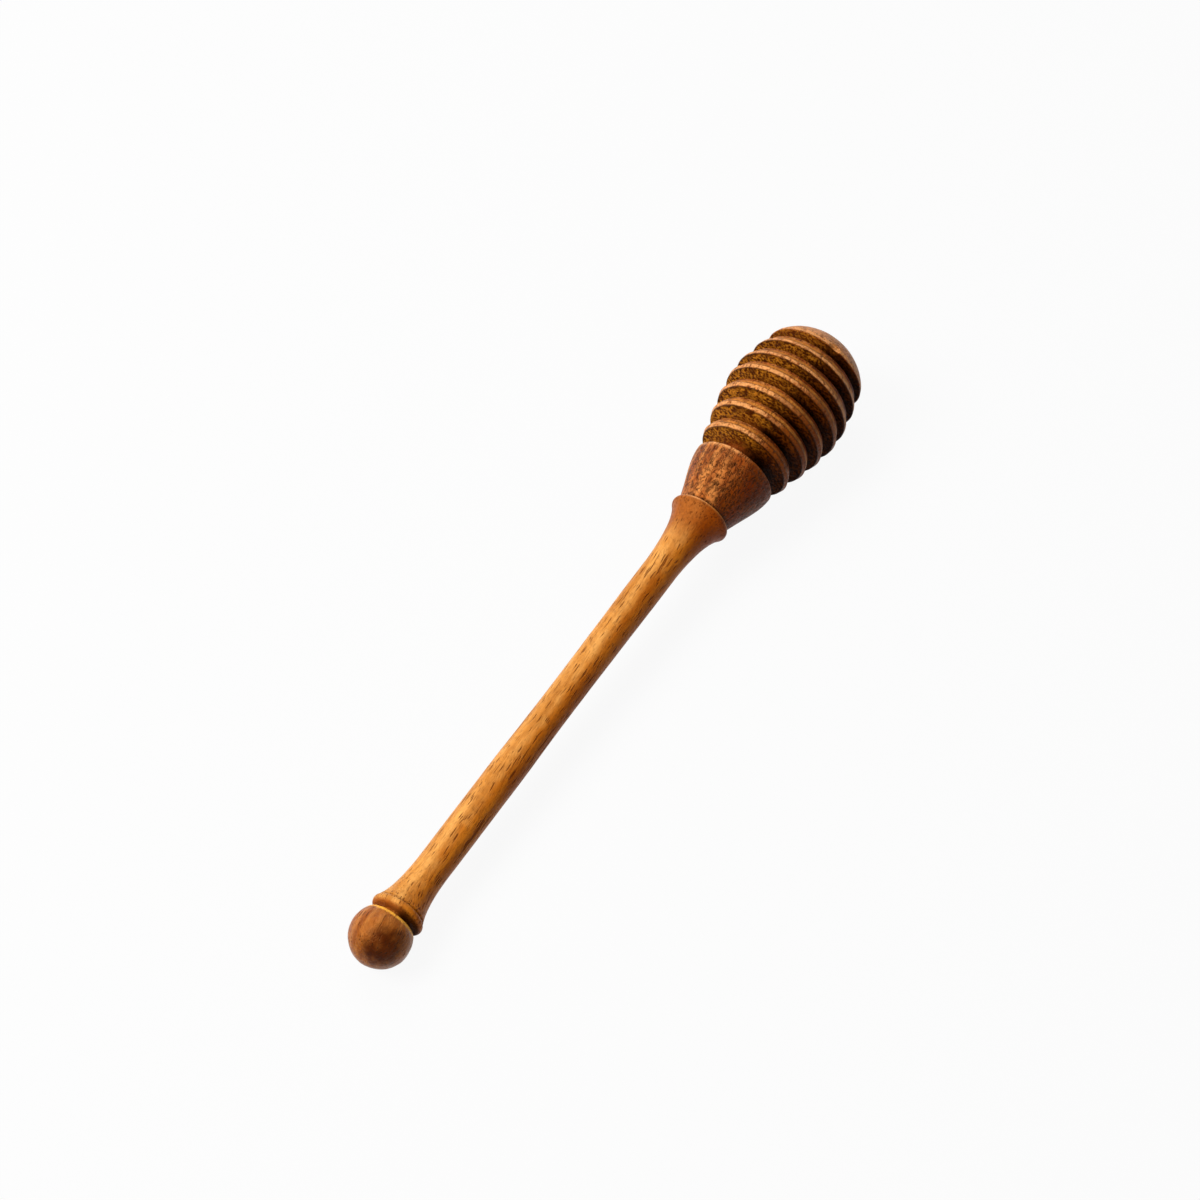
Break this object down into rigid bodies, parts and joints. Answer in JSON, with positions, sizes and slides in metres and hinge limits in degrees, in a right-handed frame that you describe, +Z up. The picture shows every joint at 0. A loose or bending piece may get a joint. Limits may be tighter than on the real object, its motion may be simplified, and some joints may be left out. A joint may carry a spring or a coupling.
{
  "type": "honey dipper",
  "caption": "Turned wooden honey dipper: a ringed head on a slender handle that ends in a ball knob, for lifting and drizzling honey.",
  "frame": {"origin": "middle of the bounding box, on the table that the dipper lies on", "axes": "+X runs from the ball knob to the tip of the head, in the plane of the turning axis; +Z is up from the table; the turning axis rises about two degrees towards the head, because the head is thicker than the ball"},
  "size_m": [0.179, 0.0272, 0.0274],
  "materials": {
    "head_wood": "oiled, dark and open-pored",
    "handle_wood": "oiled satin, golden with fine pores",
    "knob_wood": "oiled satin, reddish brown"
  },
  "bodies": {
    "root": {"dipper_head": "head_wood", "handle": "handle_wood", "ball_knob": "knob_wood"}
  },
  "joints": []
}
